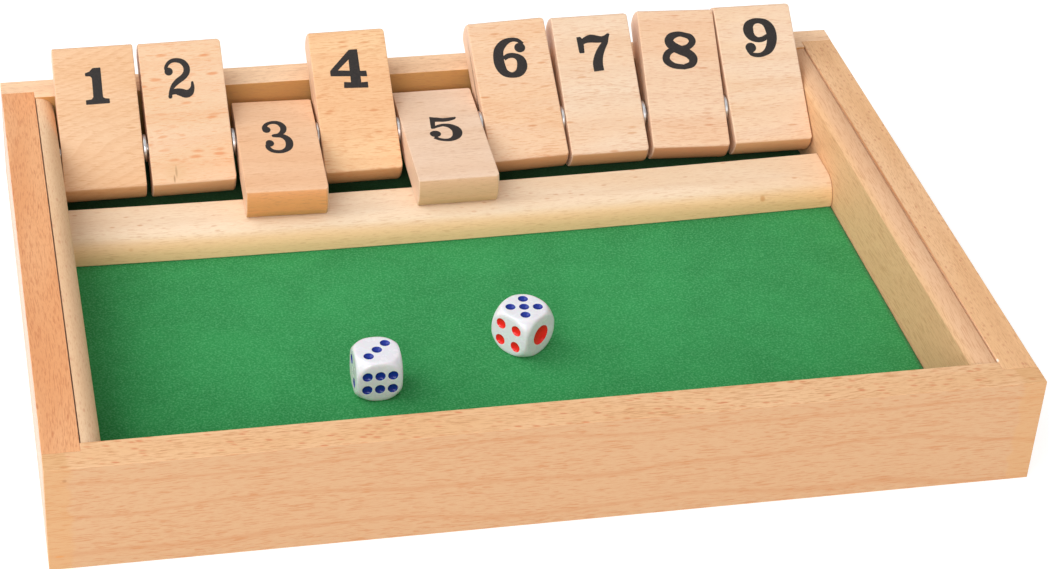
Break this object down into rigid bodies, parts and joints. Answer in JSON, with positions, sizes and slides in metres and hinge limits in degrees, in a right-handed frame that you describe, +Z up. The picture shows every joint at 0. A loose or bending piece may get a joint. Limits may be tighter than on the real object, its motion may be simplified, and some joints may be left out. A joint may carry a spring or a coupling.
{
  "type": "shut the box game",
  "caption": "Shallow wooden dice tray with a green felt floor and numbered wooden tiles that flip on a steel rod, and loose dice.",
  "frame": {"origin": "middle of the underside of the box, on the table", "axes": "+X along the rod, from the lowest tile to the highest; +Y from the front rail to the back rail; +Z up"},
  "size_m": [0.285, 0.206, 0.0508],
  "materials": {
    "rail_wood": "satin",
    "left_rail_wood": "satin",
    "panel_wood": "matte",
    "green_felt": "napped",
    "liner_wood": "satin",
    "bar_wood": "satin",
    "tile_wood": "satin",
    "rod_steel": "bright drawn",
    "washer_steel": "zinc plated",
    "die_plastic": "polished",
    "digit_ink": "printed ink",
    "blue_paint": "painted",
    "red_paint": "painted"
  },
  "bodies": {
    "box": {"front_rail": "rail_wood", "back_rail": "rail_wood", "left_rail": "left_rail_wood", "right_rail": "rail_wood", "floor_panel": "panel_wood", "felt": "green_felt", "left_liner": "liner_wood", "right_liner": "liner_wood", "stop_bar": "bar_wood", "pivot_rod": "rod_steel", "spacer_washers": "washer_steel"},
    "tile_1": {"tile_1": "tile_wood"},
    "tile_2": {"tile_2": "tile_wood"},
    "tile_3": {"tile_3": "tile_wood"},
    "tile_4": {"tile_4": "tile_wood"},
    "tile_5": {"tile_5": "tile_wood"},
    "tile_6": {"tile_6": "tile_wood"},
    "tile_7": {"tile_7": "tile_wood"},
    "tile_8": {"tile_8": "tile_wood"},
    "tile_9": {"tile_9": "tile_wood"},
    "die_a": {"die_a": "die_plastic"},
    "die_b": {"die_b": "die_plastic"}
  },
  "joints": [
    {"name": "tile_1_flip", "type": "hinge", "parent": "box", "child": "tile_1", "pos_m": [-0.11215, 0.071, 0.0256], "axis": [1, 0, 0], "range_deg": [0, 147.2]},
    {"name": "tile_2_flip", "type": "hinge", "parent": "box", "child": "tile_2", "pos_m": [-0.08355, 0.071, 0.0256], "axis": [1, 0, 0], "range_deg": [0, 147.2]},
    {"name": "tile_3_flip", "type": "hinge", "parent": "box", "child": "tile_3", "pos_m": [-0.05505, 0.071, 0.0256], "axis": [1, 0, 0], "range_deg": [-147.2, 0]},
    {"name": "tile_4_flip", "type": "hinge", "parent": "box", "child": "tile_4", "pos_m": [-0.028, 0.071, 0.0256], "axis": [1, 0, 0], "range_deg": [0, 147.2]},
    {"name": "tile_5_flip", "type": "hinge", "parent": "box", "child": "tile_5", "pos_m": [-0.00055, 0.071, 0.0256], "axis": [1, 0, 0], "range_deg": [-147.2, 0]},
    {"name": "tile_6_flip", "type": "hinge", "parent": "box", "child": "tile_6", "pos_m": [0.0273, 0.071, 0.0256], "axis": [1, 0, 0], "range_deg": [0, 147.2]},
    {"name": "tile_7_flip", "type": "hinge", "parent": "box", "child": "tile_7", "pos_m": [0.0551, 0.071, 0.0256], "axis": [1, 0, 0], "range_deg": [0, 147.2]},
    {"name": "tile_8_flip", "type": "hinge", "parent": "box", "child": "tile_8", "pos_m": [0.08365, 0.071, 0.0256], "axis": [1, 0, 0], "range_deg": [0, 147.2]},
    {"name": "tile_9_flip", "type": "hinge", "parent": "box", "child": "tile_9", "pos_m": [0.1118, 0.071, 0.0256], "axis": [1, 0, 0], "range_deg": [0, 147.2]},
    {"name": "die_a_lift", "type": "slide", "parent": "box", "child": "die_a", "axis": [0, 0, 1], "range_m": [0, 0.06]},
    {"name": "die_b_lift", "type": "slide", "parent": "box", "child": "die_b", "axis": [0, 0, 1], "range_m": [0, 0.06]}
  ]
}
